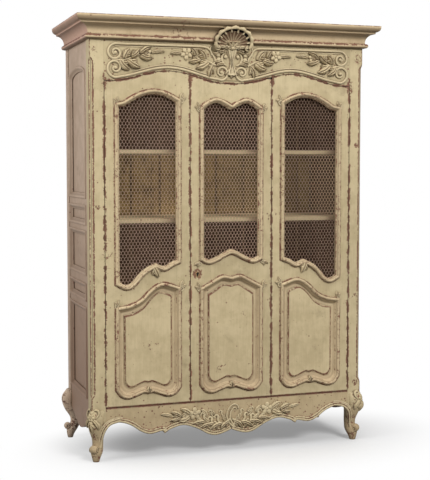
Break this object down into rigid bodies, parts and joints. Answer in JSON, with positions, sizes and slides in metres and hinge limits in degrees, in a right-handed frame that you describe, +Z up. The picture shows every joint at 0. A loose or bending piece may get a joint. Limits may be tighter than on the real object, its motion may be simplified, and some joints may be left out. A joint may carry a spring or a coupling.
{
  "type": "wire display cabinet",
  "caption": "Tall painted display cabinet with wire-netted doors over panelled bases, serpentine frieze, moulded cornice, carved shell, shelves inside and scrolled cabriole feet.",
  "frame": {"origin": "on the floor, under the middle of the cabinet's outer box", "axes": "+Z up, front towards -Y, +X to the right of someone facing the doors"},
  "size_m": [1.682, 0.696, 2.3003],
  "materials": {
    "cream_paint": "worn cream paint, satin",
    "shaded_paint": "worn paint, matt",
    "bare_wood": "bare wood, matt",
    "wire": "dull rusted wire",
    "brass": "aged, satin",
    "iron": "dark, satin"
  },
  "bodies": {
    "carcass": {"front_left_post": "cream_paint", "front_right_post": "cream_paint", "rear_left_post": "cream_paint", "rear_right_post": "cream_paint", "frieze_rail": "cream_paint", "front_apron": "cream_paint", "left_side_frame": "cream_paint", "right_side_frame": "cream_paint", "left_side_panel": "shaded_paint", "right_side_panel": "shaded_paint", "cornice_front": "cream_paint", "cornice_left": "cream_paint", "cornice_right": "cream_paint", "top_board": "bare_wood", "bottom_board": "cream_paint", "back_panel": "shaded_paint", "lower_shelf": "cream_paint", "middle_shelf": "cream_paint", "upper_shelf": "cream_paint", "shell_crest": "cream_paint", "left_upper_pivot_pin": "brass", "left_lower_pivot_pin": "brass", "centre_upper_pivot_pin": "brass", "centre_lower_pivot_pin": "brass", "right_upper_pivot_pin": "brass", "right_lower_pivot_pin": "brass"},
    "left_door": {"left_hinge_stile": "cream_paint", "left_free_stile": "cream_paint", "left_top_rail": "cream_paint", "left_lock_rail": "cream_paint", "left_bottom_rail": "cream_paint", "left_lower_panel": "cream_paint", "left_wire_net": "wire", "left_upper_pivot_socket": "brass", "left_lower_pivot_socket": "brass", "left_bolt_housing": "iron"},
    "centre_door": {"centre_hinge_stile": "cream_paint", "centre_lock_stile": "cream_paint", "centre_top_rail": "cream_paint", "centre_lock_rail": "cream_paint", "centre_bottom_rail": "cream_paint", "centre_lower_panel": "cream_paint", "centre_wire_net": "wire", "centre_upper_pivot_socket": "brass", "centre_lower_pivot_socket": "brass", "lock_case": "brass"},
    "right_door": {"right_hinge_stile": "cream_paint", "right_free_stile": "cream_paint", "right_top_rail": "cream_paint", "right_lock_rail": "cream_paint", "right_bottom_rail": "cream_paint", "right_lower_panel": "cream_paint", "right_wire_net": "wire", "right_upper_pivot_socket": "brass", "right_lower_pivot_socket": "brass", "right_bolt_housing": "iron"},
    "lock_bolt": {"lock_bolt": "brass"},
    "left_bolt": {"left_bolt": "iron"},
    "right_bolt": {"right_bolt": "iron"}
  },
  "joints": [
    {"name": "left_door_hinge", "type": "hinge", "parent": "carcass", "child": "left_door", "pos_m": [-0.679, -0.265, 0.285], "axis": [0, 0, -1], "range_deg": [0, 110]},
    {"name": "centre_door_hinge", "type": "hinge", "parent": "carcass", "child": "centre_door", "pos_m": [0.22, -0.265, 0.285], "axis": [0, 0, 1], "range_deg": [0, 90]},
    {"name": "right_door_hinge", "type": "hinge", "parent": "carcass", "child": "right_door", "pos_m": [0.679, -0.265, 0.285], "axis": [0, 0, 1], "range_deg": [0, 110]},
    {"name": "lock_bolt_slide", "type": "slide", "parent": "centre_door", "child": "lock_bolt", "axis": [-1, 0, 0], "range_m": [0, 0.01]},
    {"name": "left_bolt_slide", "type": "slide", "parent": "left_door", "child": "left_bolt", "axis": [0, 0, 1], "range_m": [0, 0.03]},
    {"name": "right_bolt_slide", "type": "slide", "parent": "right_door", "child": "right_bolt", "axis": [0, 0, 1], "range_m": [0, 0.03]}
  ]
}
